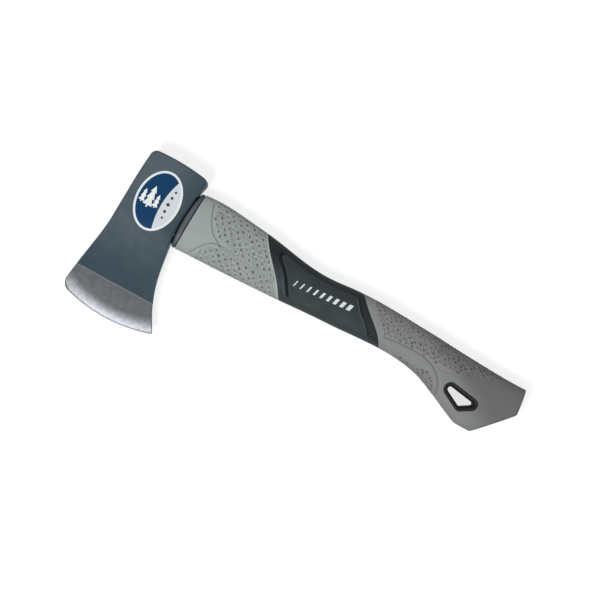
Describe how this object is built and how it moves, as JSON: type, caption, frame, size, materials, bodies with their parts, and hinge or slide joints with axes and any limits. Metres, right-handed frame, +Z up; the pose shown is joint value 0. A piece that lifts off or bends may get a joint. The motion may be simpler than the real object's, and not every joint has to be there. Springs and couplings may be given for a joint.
{
  "type": "hatchet",
  "caption": "Camp hatchet: forged single-bit head with a hammer poll, bonded to a fibreglass core under a moulded soft-grip handle with a lanyard hole in its butt.",
  "frame": {"origin": "middle of the tool's bounding box in plan, on the surface that it lies on", "axes": "+X from the head to the butt of the handle, +Y towards the poll so that the cutting edge faces -Y, +Z up from the lower cheek"},
  "size_m": [0.3684, 0.138, 0.0232],
  "materials": {
    "head_paint": "satin",
    "ground_steel": "ground",
    "label_print": "gloss",
    "fibreglass": "matte",
    "bonding_resin": "gloss",
    "black_plastic": "matte",
    "light_grey_rubber": "matte",
    "mid_grey_rubber": "matte",
    "charcoal_rubber": "matte"
  },
  "bodies": {
    "root": {"axe_head": "head_paint", "cheek_label": "label_print", "fibreglass_core": "fibreglass", "eye_resin": "bonding_resin", "shoulder_collar": "black_plastic", "handle_jacket": "black_plastic", "front_grip": "light_grey_rubber", "centre_grip": "charcoal_rubber", "rear_grip": "mid_grey_rubber", "lanyard_liner": "black_plastic"}
  },
  "joints": []
}
